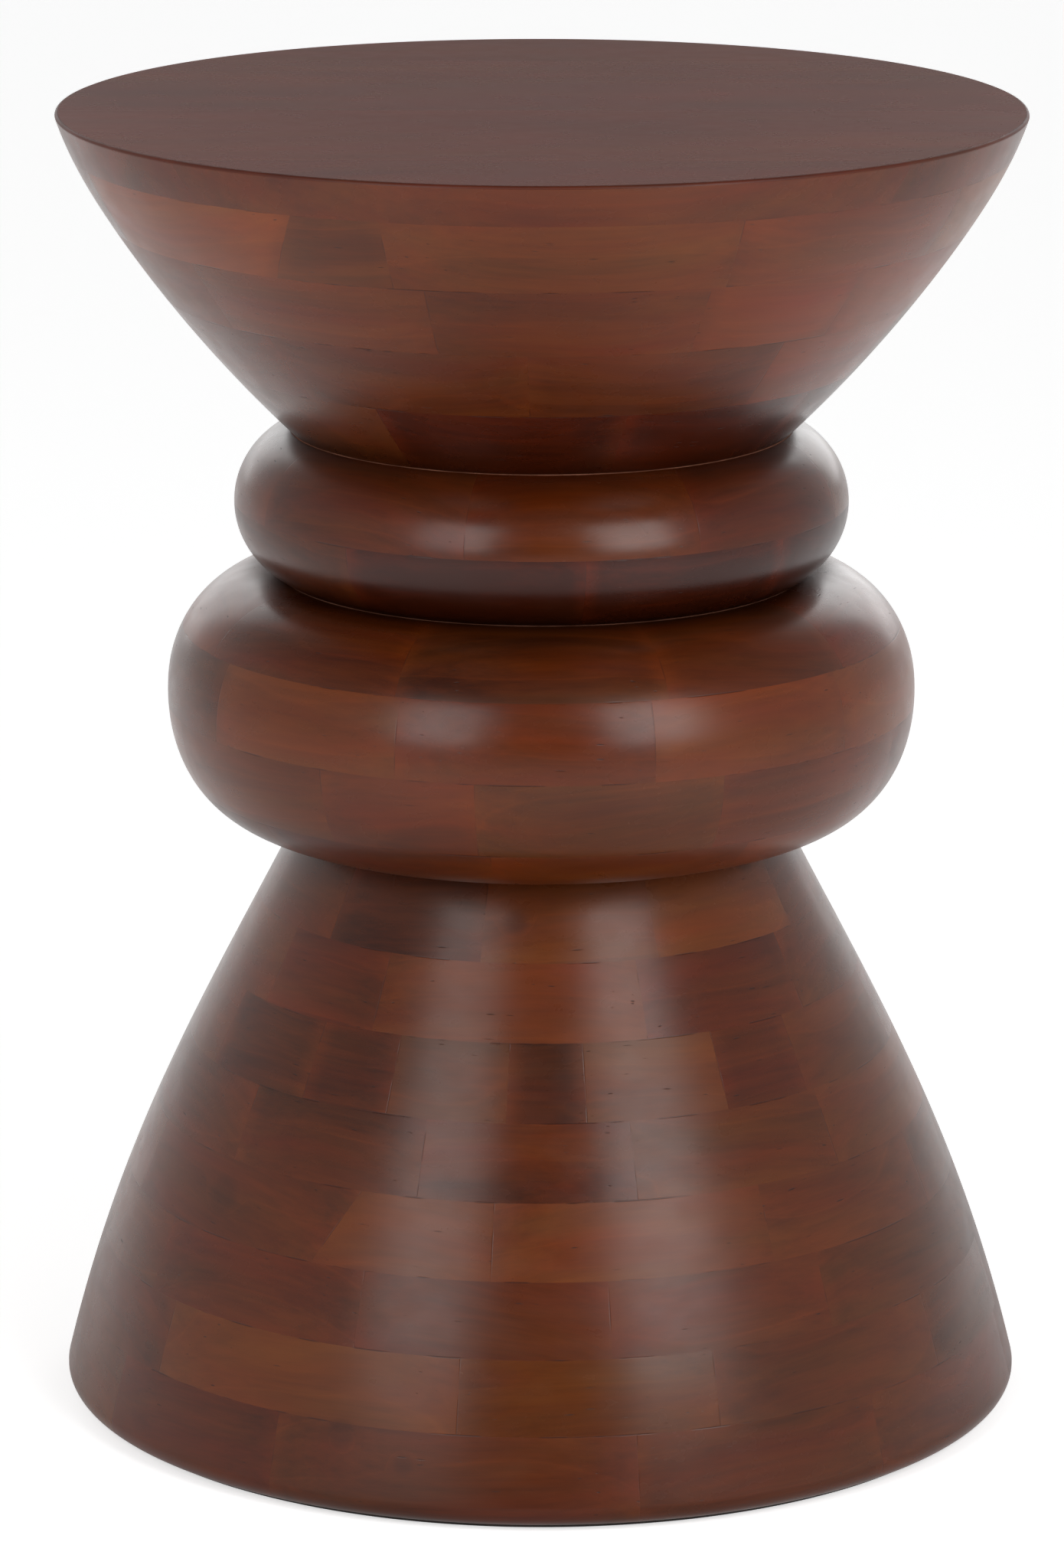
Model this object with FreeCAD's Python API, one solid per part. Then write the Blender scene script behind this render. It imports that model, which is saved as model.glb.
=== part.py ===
import FreeCAD, Part
import math
import os

# A turned hourglass accent table. It is glued up from courses of hardwood blocks in four sections
# (base, lower ring, upper ring, bowl), which are dowelled and glued together one on another.
# Millimetres. Z is up, the origin is on the floor under the middle, and the front faces -Y.

# Heights of the pad and the four sections, from the floor up
foot_pad_thickness = 2.0
base_height = 227.3
lower_ring_height = 98.9
upper_ring_height = 56.8
bowl_height = 123.0

# Diameters of the outline, widest parts and the three creases between the sections
base_diameter = 375.2
base_crease_diameter = 189.4
lower_ring_diameter = 290.3
middle_crease_diameter = 202.0
upper_ring_diameter = 237.5
bowl_crease_diameter = 194.2
top_diameter = 371.2

# Rounded edges at the floor and round the top
foot_round = 7.0
rim_round = 2.0

# How wide the wall of blocks is, behind the narrowest outline of its course
wall_width = 46.0

# Dowels between the sections
dowel_diameter = 10.0
dowel_length = 36.0
dowel_fit = 0.15
dowel_end_gap = 1.0
dowels_per_joint = 4

# Where the dowels of each joint start, as a share of the step between two of them
base_joint_turn_share = 0.10
middle_joint_turn_share = 0.35
bowl_joint_turn_share = 0.60

# Felt ring under the base
foot_pad_inset = 1.0
foot_pad_width = 36.0

# Angles of the outline where it runs into its rounded edges, in degrees from level
foot_round_start_angle = 14.0
rim_round_start_angle = -24.0

# Outline of the base between its foot and its crease, as shares of the height and of the flare
base_outline_shares = ((0.167, 0.913), (0.378, 0.737), (0.590, 0.512), (0.801, 0.2525))

# Outline of the bowl between its crease and its rim, as shares of the height and of the flare
bowl_outline_shares = ((0.220, 0.293), (0.439, 0.545), (0.659, 0.764), (0.829, 0.905))

# Where each ring is widest, as a share of its height. The lower ring is squarer than a circle: each
# pair says how full its upper or lower quarter is across and along, where 2 is a true quarter round.
lower_belly_share = 0.536
upper_belly_share = 0.484
lower_quarter_fullness = (2.43, 2.15)
upper_quarter_fullness = (2.22, 2.08)
quarter_steps = 8

# Thickness of each course from the bottom up, as a share of a whole board
base_board_shares = (1.25, 1.00, 1.00, 1.00, 1.00, 1.00, 1.00, 1.085)
lower_ring_board_shares = (0.62, 1.00, 1.00, 0.70)
upper_ring_board_shares = (1.00, 1.00)
bowl_board_shares = (1.00, 1.00, 1.00, 1.00)
top_board_share = 0.585

# Joints between blocks that show from the front, course by course, in degrees to the right of the
# front. A joint given as a pair also leans, by its second number of degrees.
base_joint_angles = (
    (-62, -33, 11.5, 44),
    (-54, -10, 22, 58),
    (-60, -24, 9, 40),
    (-74, (-29.5, 30), -6.6, 33, 68),
    (-51, -18, 14, 49),
    (-66, -41, -25, -5.4, 7.3, 31, 47.5),
    (-58, -31, 19, 54),
    (-47, -12, 24, 61),
)
lower_ring_joint_angles = (
    (-50, -8, 35),
    (-72, -34.7, -9.8, 28.1, 68),
    (-58, -22, 17, 52),
    (-64, -23, 20, 55),
)
upper_ring_joint_angles = (
    (-38, 8, 50),
    (-62, -14, 30),
)
bowl_joint_angles = (
    (-30, 15, 55),
    (-44, -2, 38),
    (-52, -15, 22, 46),
    (-71, (-33, -14), -19, 24, 60),
)

# How many blocks close the ring behind, course by course
base_block_counts = (7, 7, 6, 6, 6, 6, 5, 5)
lower_ring_block_counts = (5, 5, 6, 5)
upper_ring_block_counts = (5, 5)
bowl_block_counts = (5, 6, 6, 6)

# Extra turn of a block whose joints lean, before the joints are sawn
leaning_spare_angle = 12.0

# How uneven the blocks behind are, as shares of an even block
uneven_shares = (1.00, 0.72, 1.21, 0.90, 1.12, 0.80, 1.25)

# Planks of the top board from the front to the back, as shares of its width
plank_shares = (0.155, 0.185, 0.140, 0.190, 0.160, 0.170)

# The level edges of a course's section rise by less than this share of its height
level_edge_share = 0.01

# Heights and radii worked out from the sizes above
base_bottom = foot_pad_thickness
lower_ring_bottom = base_bottom + base_height
upper_ring_bottom = lower_ring_bottom + lower_ring_height
bowl_bottom = upper_ring_bottom + upper_ring_height
table_height = bowl_bottom + bowl_height

base_radius = base_diameter / 2
base_crease_radius = base_crease_diameter / 2
lower_ring_radius = lower_ring_diameter / 2
middle_crease_radius = middle_crease_diameter / 2
upper_ring_radius = upper_ring_diameter / 2
bowl_crease_radius = bowl_crease_diameter / 2
top_radius = top_diameter / 2
foot_flat_radius = base_radius - foot_round

# Cutting shapes reach well past the widest outline
reach = base_diameter + top_diameter + lower_ring_diameter

axis = FreeCAD.Vector(0, 0, 1)


def outline_point(radius, height):
    return FreeCAD.Vector(radius, 0, height)


def smooth_edge(points):
    curve = Part.BSplineCurve()
    curve.interpolate(points)
    return curve.toShape()


def arc_edge(first, middle, last):
    return Part.Arc(first, middle, last).toShape()


def round_point(centre_radius, centre_height, size, degrees):
    turn = math.radians(degrees)
    return outline_point(centre_radius + size * math.cos(turn), centre_height + size * math.sin(turn))


def half_section(edges, bottom, top):
    """The flat half section of a piece between its outline, which runs from its foot up, and the axis."""
    lowest = edges[0].valueAt(edges[0].FirstParameter)
    highest = edges[-1].valueAt(edges[-1].LastParameter)
    foot = outline_point(0, bottom)
    head = outline_point(0, top)
    closing = [Part.makeLine(highest, head), Part.makeLine(head, foot), Part.makeLine(foot, lowest)]
    return Part.Face(Part.Wire(edges + closing))


def turned(face, degrees):
    return face.revolve(FreeCAD.Vector(0, 0, 0), axis, degrees)


def base_outline():
    centre_radius = base_radius - foot_round
    centre_height = base_bottom + foot_round
    floor_edge = round_point(centre_radius, centre_height, foot_round, -90)
    widest = round_point(centre_radius, centre_height, foot_round, (foot_round_start_angle - 90) / 2)
    side_start = round_point(centre_radius, centre_height, foot_round, foot_round_start_angle)
    points = [side_start]
    for height_share, flare_share in base_outline_shares:
        radius = base_crease_radius + flare_share * (base_radius - base_crease_radius)
        points.append(outline_point(radius, base_bottom + height_share * base_height))
    points.append(outline_point(base_crease_radius, lower_ring_bottom))
    return [arc_edge(floor_edge, widest, side_start), smooth_edge(points)]


def quarter_points(neck, belly, rise, centre_height, fullness):
    """A full quarter round from the widest point in to the crease, squarer than a circle."""
    points = []
    for step in range(quarter_steps + 1):
        turn = math.radians(90 * step / quarter_steps)
        across = max(math.cos(turn), 0) ** (2 / fullness[0])
        along = max(math.sin(turn), 0) ** (2 / fullness[1])
        points.append(outline_point(neck + (belly - neck) * across, centre_height + rise * along))
    return points


def lower_ring_outline():
    belly_rise = lower_belly_share * lower_ring_height
    belly_height = lower_ring_bottom + belly_rise
    below = quarter_points(base_crease_radius, lower_ring_radius, -belly_rise, belly_height,
                           lower_quarter_fullness)
    above = quarter_points(middle_crease_radius, lower_ring_radius, lower_ring_height - belly_rise,
                           belly_height, upper_quarter_fullness)
    below.reverse()
    return [smooth_edge(below + above[1:])]


def upper_ring_outline():
    foot = outline_point(middle_crease_radius, upper_ring_bottom)
    belly = outline_point(upper_ring_radius, upper_ring_bottom + upper_belly_share * upper_ring_height)
    head = outline_point(bowl_crease_radius, bowl_bottom)
    return [arc_edge(foot, belly, head)]


def bowl_outline():
    centre_radius = top_radius - rim_round
    centre_height = table_height - rim_round
    side_end = round_point(centre_radius, centre_height, rim_round, rim_round_start_angle)
    middle = round_point(centre_radius, centre_height, rim_round, (rim_round_start_angle + 90) / 2)
    top_edge = round_point(centre_radius, centre_height, rim_round, 90)
    points = [outline_point(bowl_crease_radius, bowl_bottom)]
    for height_share, flare_share in bowl_outline_shares:
        radius = bowl_crease_radius + flare_share * (top_radius - bowl_crease_radius)
        points.append(outline_point(radius, bowl_bottom + height_share * bowl_height))
    points.append(side_end)
    return [smooth_edge(points), arc_edge(side_end, middle, top_edge)]


def dowel_places(crease_radius, turn_share):
    """Middles of the dowels of one joint, spread evenly on the middle of the wall."""
    places = []
    circle = crease_radius - wall_width / 2
    for number in range(dowels_per_joint):
        turn = 2 * math.pi * (number + turn_share) / dowels_per_joint
        places.append((circle * math.cos(turn), circle * math.sin(turn)))
    return places


def round_bars(places, radius, joint_height, half_length):
    bars = []
    for x, y in places:
        foot = FreeCAD.Vector(x, y, joint_height - half_length)
        bars.append(Part.makeCylinder(radius, 2 * half_length, foot, axis))
    return bars


def dowels(places, joint_height):
    return round_bars(places, dowel_diameter / 2, joint_height, dowel_length / 2)


def dowel_holes(places, joint_height):
    return round_bars(places, dowel_diameter / 2 + dowel_fit, joint_height,
                      dowel_length / 2 + dowel_end_gap)


def course_levels(bottom, height, board_shares):
    """Heights of the glue lines, from the bottom of a section to its top."""
    total = sum(board_shares)
    levels = [bottom]
    gone = 0
    for share in board_shares:
        gone = gone + share
        levels.append(bottom + height * gone / total)
    return levels


def ring_joints(front_joints, blocks_behind, start):
    """Every joint of one course as (degrees, lean), in order round the ring."""
    joints = []
    for joint in front_joints:
        if isinstance(joint, tuple):
            joints.append(joint)
        else:
            joints.append((joint, 0))
    first = joints[0][0]
    last = joints[-1][0]
    sizes = [uneven_shares[(start + number) % len(uneven_shares)] for number in range(blocks_behind)]
    even = (first + 360 - last) / sum(sizes)
    turn = last
    for size in sizes[:-1]:
        turn = turn + even * size
        joints.append((turn, 0))
    joints.append((first + 360, joints[0][1]))
    return joints


def block_corner(joint, middle_turn, distance, level, middle_level):
    """Where a joint meets the level line that crosses the block's middle at a distance from the axis."""
    turn = math.radians(joint[0])
    aside = (level - middle_level) * math.tan(math.radians(joint[1]))
    outward = (math.sin(turn), -math.cos(turn))
    along = (math.cos(turn), math.sin(turn))
    facing = (math.sin(middle_turn), -math.cos(middle_turn))
    outward_part = outward[0] * facing[0] + outward[1] * facing[1]
    along_part = along[0] * facing[0] + along[1] * facing[1]
    run = (distance - aside * along_part) / outward_part
    return FreeCAD.Vector(run * outward[0] + aside * along[0], run * outward[1] + aside * along[1], level)


def flat_face(corners):
    return Part.Face(Part.makePolygon(corners + [corners[0]]))


def rough_block(left, right, inner_distance, low, high):
    """A block as sawn: flat back, two joint faces, and an outer end far past the outline."""
    middle_turn = math.radians((left[0] + right[0]) / 2)
    middle_level = (low + high) / 2
    rings = []
    for level in (low, high):
        ring = []
        for joint, distance in ((left, inner_distance), (right, inner_distance),
                                (right, reach), (left, reach)):
            ring.append(block_corner(joint, middle_turn, distance, level, middle_level))
        rings.append(ring)
    lower, upper = rings
    faces = [flat_face(lower), flat_face(upper)]
    for number in range(4):
        after = (number + 1) % 4
        faces.append(flat_face([lower[number], lower[after], upper[after], upper[number]]))
    return Part.Solid(Part.Shell(faces))


def course_section(section, low, high):
    """The half section of one course, and its outline radius at the narrower of its two faces."""
    corners = [outline_point(0, low), outline_point(reach, low), outline_point(reach, high),
               outline_point(0, high)]
    face = section.common(flat_face(corners)).Faces[0]
    flat_edges = [edge for edge in face.Edges if edge.BoundBox.ZLength < level_edge_share * (high - low)]
    return face, min(edge.BoundBox.XMax for edge in flat_edges)


def turned_block(face, left, right, inner_distance, low, high):
    """One block of a course: turned outside, flat at its back, with a joint face at each end."""
    leaning = left[1] != 0 or right[1] != 0
    spare = leaning_spare_angle if leaning else 0
    sector = turned(face, right[0] - left[0] + 2 * spare)
    sector.rotate(FreeCAD.Vector(0, 0, 0), axis, left[0] - spare - 90)
    if leaning:
        return sector.common(rough_block(left, right, inner_distance, low, high))
    middle = (left[0] + right[0]) / 2
    back = Part.makeBox(2 * inner_distance, 2 * reach, high - low,
                        FreeCAD.Vector(-inner_distance, -reach, low))
    back.rotate(FreeCAD.Vector(0, 0, 0), axis, middle - 90)
    return sector.cut(back)


def course_blocks(section, low, high, front_joints, blocks_behind, start):
    face, narrow = course_section(section, low, high)
    joints = ring_joints(front_joints, blocks_behind, start)
    blocks = []
    for left, right in zip(joints[:-1], joints[1:]):
        block = turned_block(face, left, right, narrow - wall_width, low, high)
        blocks.append(block.Solids[0])
    return blocks


def drilled(blocks, holes):
    """Cuts each hole from the blocks that it reaches."""
    result = []
    for block in blocks:
        near = [hole for hole in holes if block.BoundBox.intersect(hole.BoundBox)]
        if near:
            block = block.cut(near).Solids[0]
        result.append(block)
    return result


def section_courses(name, section, levels, joint_angles, block_counts, holes):
    """The courses of one section, each as the name of its node and its blocks."""
    nodes = []
    for number, front_joints in enumerate(joint_angles):
        blocks = course_blocks(section, levels[number], levels[number + 1], front_joints,
                               block_counts[number], number)
        nodes.append((name + "_course_" + str(number + 1), drilled(blocks, holes)))
    return nodes


def top_board_planks(section, low):
    disc = turned(course_section(section, low, table_height)[0], 360)
    planks = []
    front = -top_radius
    for share in plank_shares:
        width = share * top_diameter / sum(plank_shares)
        corner = FreeCAD.Vector(-reach, front, low)
        sawn = Part.makeBox(2 * reach, width, table_height - low, corner)
        planks.extend(disc.common(sawn).Solids)
        front = front + width
    return planks


def foot_pad():
    outer = foot_flat_radius - foot_pad_inset
    disc = Part.makeCylinder(outer, foot_pad_thickness)
    return [disc.cut(Part.makeCylinder(outer - foot_pad_width, foot_pad_thickness))]


def write_node(name, solids):
    shape = solids[0] if len(solids) == 1 else Part.makeCompound(solids)
    shape.exportStep(os.path.join("parts", name + ".step"))
    volume = sum(solid.Volume for solid in solids)
    sound = all(solid.isValid() for solid in solids)
    print(name, len(solids), "solids", round(volume / 1000, 1), "cm3", "sound" if sound else "UNSOUND")


def main():
    os.makedirs("parts", exist_ok=True)

    middle_wall_radius = min(middle_crease_radius, bowl_crease_radius)
    base_joint = dowel_places(base_crease_radius, base_joint_turn_share)
    middle_joint = dowel_places(middle_wall_radius, middle_joint_turn_share)
    bowl_joint = dowel_places(bowl_crease_radius, bowl_joint_turn_share)
    base_holes = dowel_holes(base_joint, lower_ring_bottom)
    middle_holes = dowel_holes(middle_joint, upper_ring_bottom)
    bowl_holes = dowel_holes(bowl_joint, bowl_bottom)

    base = half_section(base_outline(), base_bottom, lower_ring_bottom)
    lower_ring = half_section(lower_ring_outline(), lower_ring_bottom, upper_ring_bottom)
    upper_ring = half_section(upper_ring_outline(), upper_ring_bottom, bowl_bottom)
    bowl = half_section(bowl_outline(), bowl_bottom, table_height)

    base_levels = course_levels(base_bottom, base_height, base_board_shares)
    lower_levels = course_levels(lower_ring_bottom, lower_ring_height, lower_ring_board_shares)
    upper_levels = course_levels(upper_ring_bottom, upper_ring_height, upper_ring_board_shares)
    bowl_levels = course_levels(bowl_bottom, bowl_height, bowl_board_shares + (top_board_share,))

    nodes = [("foot_pad", foot_pad())]
    nodes += section_courses("base", base, base_levels, base_joint_angles, base_block_counts,
                             base_holes)
    nodes.append(("base_dowels", dowels(base_joint, lower_ring_bottom)))
    nodes += section_courses("lower_ring", lower_ring, lower_levels, lower_ring_joint_angles,
                             lower_ring_block_counts, base_holes + middle_holes)
    nodes.append(("ring_dowels", dowels(middle_joint, upper_ring_bottom)))
    nodes += section_courses("upper_ring", upper_ring, upper_levels, upper_ring_joint_angles,
                             upper_ring_block_counts, middle_holes + bowl_holes)
    nodes.append(("bowl_dowels", dowels(bowl_joint, bowl_bottom)))
    nodes += section_courses("bowl", bowl, bowl_levels, bowl_joint_angles, bowl_block_counts,
                             bowl_holes)
    nodes.append(("top_board", top_board_planks(bowl, bowl_levels[-2])))

    for name, solids in nodes:
        write_node(name, solids)


main()
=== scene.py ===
import math
import random

import bpy
import numpy as np
from mathutils import Matrix, Vector


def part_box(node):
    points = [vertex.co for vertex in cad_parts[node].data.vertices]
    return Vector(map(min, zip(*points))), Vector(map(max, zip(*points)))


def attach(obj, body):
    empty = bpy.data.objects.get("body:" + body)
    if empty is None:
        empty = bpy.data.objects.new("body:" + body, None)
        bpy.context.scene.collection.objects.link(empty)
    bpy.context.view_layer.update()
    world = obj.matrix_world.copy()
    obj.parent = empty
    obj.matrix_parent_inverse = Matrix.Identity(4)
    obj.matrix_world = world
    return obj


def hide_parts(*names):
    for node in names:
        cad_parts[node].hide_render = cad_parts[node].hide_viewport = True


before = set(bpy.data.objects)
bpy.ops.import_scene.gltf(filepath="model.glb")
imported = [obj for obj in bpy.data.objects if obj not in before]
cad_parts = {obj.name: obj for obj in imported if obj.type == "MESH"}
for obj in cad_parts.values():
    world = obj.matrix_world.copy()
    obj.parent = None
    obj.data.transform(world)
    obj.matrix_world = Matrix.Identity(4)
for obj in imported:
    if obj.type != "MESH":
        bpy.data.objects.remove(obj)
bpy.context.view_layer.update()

# The looks of a turned hourglass accent table: rings of stained hardwood blocks, a top of planks,
# dried glue in the creases, and a felt ring under the foot. Lengths are in millimetres up to the
# meshes, which are in metres. Angles round the table are in degrees to the right of the front.

MM = 0.001

# Heights of the pad and the four sections, from the floor up, as in the part's source
FOOT_PAD_THICKNESS = 2.0
BASE_HEIGHT = 227.3
LOWER_RING_HEIGHT = 98.9
UPPER_RING_HEIGHT = 56.8
BOWL_HEIGHT = 123.0

LOWER_RING_BOTTOM = FOOT_PAD_THICKNESS + BASE_HEIGHT
UPPER_RING_BOTTOM = LOWER_RING_BOTTOM + LOWER_RING_HEIGHT
BOWL_BOTTOM = UPPER_RING_BOTTOM + UPPER_RING_HEIGHT
TABLE_HEIGHT = BOWL_BOTTOM + BOWL_HEIGHT

# Radii of the outline: widest parts and creases. Nothing of the scene passes the largest radius.
BASE_RADIUS = 187.6
BASE_CREASE_RADIUS = 94.7
LOWER_RING_RADIUS = 145.15
MIDDLE_CREASE_RADIUS = 101.0
UPPER_RING_RADIUS = 118.75
BOWL_CREASE_RADIUS = 97.1
TOP_RADIUS = 185.6
LARGEST_RADIUS = 187.54

# Rounded edges, and where each starts. The rim is sharper here than in the source.
FOOT_ROUND = 7.0
FOOT_ROUND_START = 14.0
RIM_ROUND = 1.2
RIM_ROUND_START = -24.0

# Outlines as shares of a section's height and of its flare, and how full the rings' quarters are
BASE_OUTLINE = ((0.167, 0.913), (0.378, 0.737), (0.590, 0.512), (0.801, 0.2525))
BOWL_OUTLINE = ((0.220, 0.293), (0.439, 0.545), (0.659, 0.764), (0.829, 0.905))
LOWER_BELLY = 0.536
UPPER_BELLY = 0.484
QUARTER_BELOW = (2.43, 2.15)
QUARTER_ABOVE = (2.22, 2.08)
QUARTER_STEPS = 8

WALL_WIDTH = 46.0
FOOT_PAD_WIDTH = 36.0

# Thickness of each course from the bottom up, as a share of a whole board. The bowl's last is the top.
BASE_BOARDS = (1.25, 1.00, 1.00, 1.00, 1.00, 1.00, 1.00, 1.085)
LOWER_BOARDS = (0.62, 1.00, 1.00, 0.70)
UPPER_BOARDS = (1.00, 1.00)
BOWL_BOARDS = (1.00, 1.00, 1.00, 1.00, 0.585)

# Joints between blocks that show from the front, course by course. A joint given as a pair also leans,
# by its second number of degrees.
BASE_JOINTS = (
    (-62, -33, 11.5, 44),
    (-54, -10, 22, 58),
    (-60, -24, 9, 40),
    (-74, (-29.5, 30), -6.6, 33, 68),
    (-51, -18, 14, 49),
    (-66, -41, -25, -5.4, 7.3, 31, 47.5),
    (-58, -31, 19, 54),
    (-47, -12, 24, 61),
)
LOWER_JOINTS = (
    (-50, -8, 35),
    (-72, -34.7, -9.8, 28.1, 68),
    (-58, -22, 17, 52),
    (-64, -23, 20, 55),
)
UPPER_JOINTS = (
    (-38, 8, 50),
    (-62, -14, 30),
)
BOWL_JOINTS = (
    (-30, 15, 55),
    (-44, -2, 38),
    (-52, -15, 22, 46),
    (-71, (-33, 32), -19, 24, 60),
)

# How many blocks close each ring behind, how uneven they are, and the planks' shares of the top
BASE_BEHIND = (7, 7, 6, 6, 6, 6, 5, 5)
LOWER_BEHIND = (5, 5, 6, 5)
UPPER_BEHIND = (5, 5)
BOWL_BEHIND = (5, 6, 6, 6)
UNEVEN = (1.00, 0.72, 1.21, 0.90, 1.12, 0.80, 1.25)
PLANKS = (0.155, 0.185, 0.140, 0.190, 0.160, 0.170)

# Painted shade in the creases of each section, with a faint painted contact shadow at the foot: at which
# end, how strong, how far it reaches along the outline
BASE_CREASE_SHADE = (("low", 0.15, 15.0), ("high", 0.5, 15.0))
LOWER_CREASE_SHADE = (("low", 0.5, 15.0), ("high", 1.0, 15.0))
UPPER_CREASE_SHADE = (("low", 1.0, 23.0), ("high", 0.9, 15.0))
BOWL_CREASE_SHADE = (("low", 0.9, 18.0),)
CREASE_FALL = 1.5

# Lightness and redness of the blocks that show from the front, where the photograph tells them apart,
# for each course from its first joint on. A third number is how much lighter the right end is.
# Some of this is painted light and shade: the dark first courses of the upper ring and of the bowl are
# mostly painted shade under the overhangs, and the other tones take up some of the unevenness of the
# light.
BLOCK_TONES_AND_SHADE = {
    "base_course_1": ((0.22, 0.80), (0.20, 0.60), (0.20, 0.60), (0.30, 0.65)),
    "base_course_2": ((0.42, 0.40), (0.30, 0.40), (0.24, 0.50), (0.20, 0.50)),
    "base_course_3": ((0.24, 0.70), (0.22, 0.70), (0.30, 0.65), (0.16, 0.50)),
    "base_course_4": ((0.22, 0.65), (0.44, 0.45), (0.52, 0.50), (0.32, 0.55)),
    "base_course_5": ((0.14, 0.60), (0.26, 0.65), (0.32, 0.55), (0.44, 0.50)),
    "base_course_6": ((0.06, 0.65), (0.10, 0.75), (0.24, 0.35), (0.00, 0.60, -0.16), (0.40, 0.40),
                      (0.16, 0.75), (0.30, 0.55)),
    "base_course_7": ((0.26, 0.75), (0.46, 0.60), (0.20, 0.75), (0.30, 0.55)),
    "base_course_8": ((0.12, 0.65), (0.42, 0.50), (0.56, 0.45)),
    "lower_ring_course_1": ((0.16, 0.70), (0.30, 0.65), (0.48, 0.60)),
    "lower_ring_course_2": ((0.34, 0.55), (0.24, 0.65), (0.26, 0.40), (0.32, 0.70)),
    "lower_ring_course_3": ((0.50, 0.50), (0.32, 0.70), (0.50, 0.60), (0.60, 0.55)),
    "lower_ring_course_4": ((0.18, 0.65), (0.04, 0.60), (0.14, 0.60), (0.40, 0.80)),
    "upper_ring_course_1": ((-0.08, 1.05), (-0.10, 1.10), (-0.08, 1.10)),
    "upper_ring_course_2": ((0.22, 0.70), (0.28, 0.70), (0.16, 0.80)),
    "bowl_course_1": ((0.02, 0.95), (0.04, 1.05), (0.15, 0.80)),
    "bowl_course_2": ((0.22, 0.65), (0.20, 0.65), (0.58, 0.75)),
    "bowl_course_3": ((0.46, 0.60), (0.32, 0.60), (0.66, 0.75), (0.60, 0.70)),
    "bowl_course_4": ((0.84, 0.60), (0.20, 0.50), (0.46, 0.50), (0.52, 0.70), (0.65, 0.40)),
}

# What chance gives the other blocks and the planks: middle and spread, or least and most
CHANCE_LIGHTNESS = (0.29, 0.09)
CHANCE_REDNESS = (0.60, 0.10)
CHANCE_FIGURE = (0.6, 1.1)
FRONT_FIGURE = (0.7, 1.1)
TOP_LIGHTNESS = (0.72, 0.03)
TOP_REDNESS = (0.95, 0.05)
TOP_FIGURE = (0.06, 0.14)
RIM_LIGHTNESS = (0.27, 0.05)
RIM_REDNESS = (0.68, 0.05)
RIM_FIGURE = 0.5
DRIFT_ALONG = (0, 0.05)
DRIFT_UP = (0, 0.03)

# How a block's grain swings out and up from its length, and where its pith lies, in metres
GRAIN_SWING = (0, 0.05)
GRAIN_RISE = (0, 0.035)
GRAIN_CENTRE = 0.14
GRAIN_SHIFT = ((-4, 4), (0.05, 0.22), (-0.02, 0.02))

# Knots that the photograph shows: angle, height and size
KNOTS = ((-50.9, 105.0, 5.0), (-5.4, 213.5, 3.0), (53.5, 226.0, 3.2), (-16.2, 24.0, 2.4),
         (-24.3, 32.0, 3.6))

# Meshes: steps in millimetres or degrees, least numbers of them, and how far a course's inner points
# stay from its levels
OUTLINE_STEP = 2.0
FOOT_ARC_STEP = 7
RIM_ARC_STEP = 11
AZIMUTH_STEP = 1.25
LEAST_BLOCK_STEPS = 3
LEAST_PLANK_STEPS = 4
PLANK_STEPS_ACROSS = 9
LATHE_STEPS = 720
LEVEL_MARGIN = 0.2
TOP_MARGIN = 0.0001
NO_SEAM = 50.0
SMALLEST_FACE = 1e-9
FINISHED, RAW = 0, 1

# Wear on the rim's upper rounding, above 1 so that the material tells it from a crease
RIM_WEAR = 1.5
WORN_SHARE = 0.9


def cubic_spline(knots, values, where):
    """The cubic through the values whose first two and last two spans are one curve each."""
    n = len(knots)
    h = np.diff(knots)
    a = np.zeros((n, n))
    b = np.zeros((n, values.shape[1]))
    for i in range(1, n - 1):
        a[i, i - 1] = h[i - 1]
        a[i, i] = 2 * (h[i - 1] + h[i])
        a[i, i + 1] = h[i]
        b[i] = 6 * ((values[i + 1] - values[i]) / h[i] - (values[i] - values[i - 1]) / h[i - 1])
    a[0, 0], a[0, 1], a[0, 2] = h[1], -(h[0] + h[1]), h[0]
    a[-1, -1], a[-1, -2], a[-1, -3] = h[-2], -(h[-2] + h[-1]), h[-1]
    m = np.linalg.solve(a, b)
    k = np.clip(np.searchsorted(knots, where) - 1, 0, n - 2)
    left = (where - knots[k])[:, None]
    right = (knots[k + 1] - where)[:, None]
    hk = h[k][:, None]
    return ((m[k] * right ** 3 + m[k + 1] * left ** 3) / (6 * hk)
            + (values[k] / hk - m[k] * hk / 6) * right
            + (values[k + 1] / hk - m[k + 1] * hk / 6) * left)


def run_along(points):
    """How far along a line each of its points lies."""
    return np.r_[0, np.cumsum(np.hypot(*np.diff(points, axis=0).T))]


def spline_points(points, step):
    points = np.array(points, float)
    knots = run_along(points)
    count = max(int(round(knots[-1] / step)), 4)
    return cubic_spline(knots, points, np.linspace(0, knots[-1], count + 1))


def arc_points(centre, size, first, last, step):
    count = max(int(math.ceil(abs(last - first) / step)), 2)
    turns = np.radians(np.linspace(first, last, count + 1))
    return np.column_stack([centre[0] + size * np.cos(turns), centre[1] + size * np.sin(turns)])


def base_outline():
    centre = (BASE_RADIUS - FOOT_ROUND, FOOT_PAD_THICKNESS + FOOT_ROUND)
    foot = arc_points(centre, FOOT_ROUND, -90, FOOT_ROUND_START, FOOT_ARC_STEP)
    points = [tuple(foot[-1])]
    for height, flare in BASE_OUTLINE:
        points.append((BASE_CREASE_RADIUS + flare * (BASE_RADIUS - BASE_CREASE_RADIUS),
                       FOOT_PAD_THICKNESS + height * BASE_HEIGHT))
    points.append((BASE_CREASE_RADIUS, LOWER_RING_BOTTOM))
    return np.vstack([foot, spline_points(points, OUTLINE_STEP)[1:]])


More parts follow.
